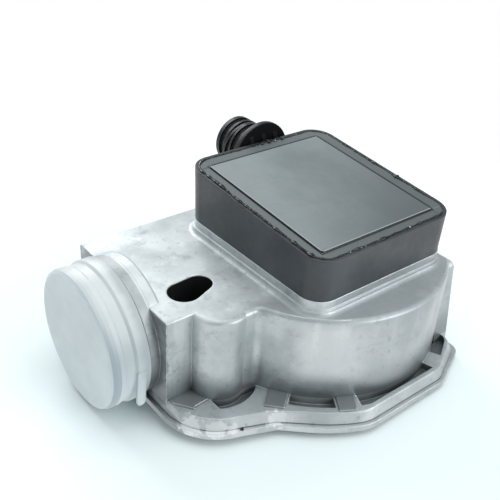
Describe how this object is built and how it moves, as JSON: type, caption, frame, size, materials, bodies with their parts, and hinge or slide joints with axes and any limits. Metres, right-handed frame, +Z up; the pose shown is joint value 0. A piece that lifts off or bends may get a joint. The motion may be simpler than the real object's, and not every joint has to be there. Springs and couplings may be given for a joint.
{
  "type": "mass airflow sensor",
  "caption": "Vane air flow meter: die-cast duct with a capped hose spigot, damping drum and pocketed base flange, carrying a sealed black electronics box with a round plug socket.",
  "frame": {"origin": "on the vane shaft's axis, level with the underside of the base cover", "axes": "+X runs against the flow to the inlet plate, with the hose spigot at -X; +Y points to the plug socket; +Z is up, away from the base cover"},
  "size_m": [0.175, 0.1534, 0.1033],
  "materials": {
    "main_casting": "sand-grained die casting, matt",
    "base_cover": "die casting, matt",
    "cover_seal": "matt cord",
    "cover_screws": "zinc plated",
    "transit_cap": "milky soft plastic",
    "electronics_box": "satin moulding",
    "box_screws": "zinc plated",
    "lid_plate": "smooth satin sheet",
    "sealant_bead": "glossy sealing compound",
    "connector_socket": "satin moulding",
    "contact_insert": "matt moulding",
    "contact_pins": "tin plated",
    "temperature_probe": "matt moulding",
    "thermistor_bead": "glass bead",
    "lower_bush": "sintered bronze",
    "upper_bush": "sintered bronze",
    "vane_shaft": "ground",
    "shaft_clip": "oiled spring steel",
    "vane_casting": "die casting, matt",
    "stop_buffer": "matt",
    "mixture_screw": "turned",
    "mixture_screw_seal": "matt",
    "spring_wheel": "natural moulding",
    "return_spring": "spring strip",
    "wheel_clip": "spring wire",
    "wiper_hub": "matt moulding",
    "wiper_arm": "stamped",
    "counterweight": "turned",
    "wiper_contacts": "bright strip",
    "track_board": "ceramic with a dark printed track",
    "board_screws": "zinc plated"
  },
  "bodies": {
    "housing": {"main_casting": "main_casting", "base_cover": "base_cover", "cover_seal": "cover_seal", "cover_screws": "cover_screws", "transit_cap": "transit_cap", "electronics_box": "electronics_box", "box_screws": "box_screws", "lid_plate": "lid_plate", "sealant_bead": "sealant_bead", "connector_socket": "connector_socket", "contact_insert": "contact_insert", "contact_pins": "contact_pins", "temperature_probe": "temperature_probe", "thermistor_bead": "thermistor_bead", "lower_bush": "lower_bush", "upper_bush": "upper_bush", "stop_buffer": "stop_buffer", "mixture_screw": "mixture_screw", "mixture_screw_seal": "mixture_screw_seal", "spring_wheel": "spring_wheel", "return_spring": "return_spring", "wheel_clip": "wheel_clip", "track_board": "track_board", "board_screws": "board_screws"},
    "vane_unit": {"vane_casting": "vane_casting", "vane_shaft": "vane_shaft", "shaft_clip": "shaft_clip", "wiper_hub": "wiper_hub", "wiper_arm": "wiper_arm", "counterweight": "counterweight", "wiper_contacts": "wiper_contacts"}
  },
  "joints": [
    {"name": "vane_swing", "type": "hinge", "parent": "housing", "child": "vane_unit", "pos_m": [0, 0, 0.03], "axis": [0, 0, 1], "range_deg": [0, 85], "stiffness_Nm_per_rad": 0.008, "springref_deg": -28.65}
  ]
}
